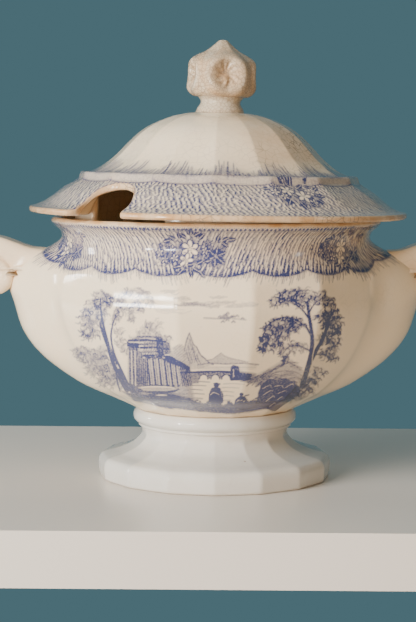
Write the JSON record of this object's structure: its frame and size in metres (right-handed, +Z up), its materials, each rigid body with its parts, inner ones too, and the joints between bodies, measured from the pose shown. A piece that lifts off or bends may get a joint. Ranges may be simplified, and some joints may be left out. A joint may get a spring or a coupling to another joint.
{
  "type": "soup tureen",
  "caption": "Lidded pedestal soup tureen with scroll handles, a panelled lobed bowl and a ladle notch in the lift-off lid.",
  "frame": {"origin": "on the surface the foot stands on, under the axis of the bowl", "axes": "+Z up, +X from handle to handle, -Y out of the printed front; the ladle notch is at the front left"},
  "size_m": [0.3284, 0.2386, 0.2766],
  "materials": {
    "printed_glaze": "clear gloss glaze over a grey-blue transfer print on off-white earthenware",
    "plain_glaze": "clear gloss glaze on off-white earthenware",
    "crazed_glaze": "gloss glaze with fine brown crazing and staining"
  },
  "bodies": {
    "bowl": {"bowl_body": "printed_glaze", "foot_collar": "plain_glaze", "foot_pedestal": "plain_glaze", "handle_right": "plain_glaze", "handle_left": "plain_glaze"},
    "lid": {"lid_shell": "printed_glaze", "lid_flange": "plain_glaze", "finial_stem": "crazed_glaze", "finial_bud": "crazed_glaze"}
  },
  "joints": [
    {"name": "lid_lift", "type": "slide", "parent": "bowl", "child": "lid", "axis": [0, 0, 1], "range_m": [0, 0.12]}
  ]
}
